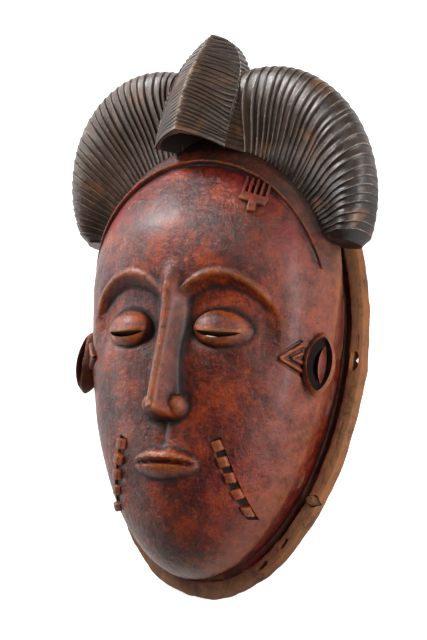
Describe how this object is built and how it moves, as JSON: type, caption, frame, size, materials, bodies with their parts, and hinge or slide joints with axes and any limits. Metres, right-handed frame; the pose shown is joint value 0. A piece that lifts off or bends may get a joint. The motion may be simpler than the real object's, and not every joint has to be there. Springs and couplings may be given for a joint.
{
  "type": "carved wooden face mask",
  "caption": "Hollow carved face mask with ribbed hair lobes, a ridged crest, cupped ears and a flat back flange.",
  "frame": {"origin": "bottom centre of the box round the mask as it lies face up on its back flange", "axes": "+X to the viewer's right, +Y towards the crest, +Z out of the face"},
  "size_m": [0.2364, 0.362, 0.1146],
  "materials": {
    "carved_wood": "dark red-brown polished patina on the face, near-black ribbed hair, raw brown flange",
    "peg_wood": "raw brown whittled wood, dull"
  },
  "bodies": {
    "root": {"mask": "carved_wood", "rim_peg": "peg_wood"}
  },
  "joints": []
}
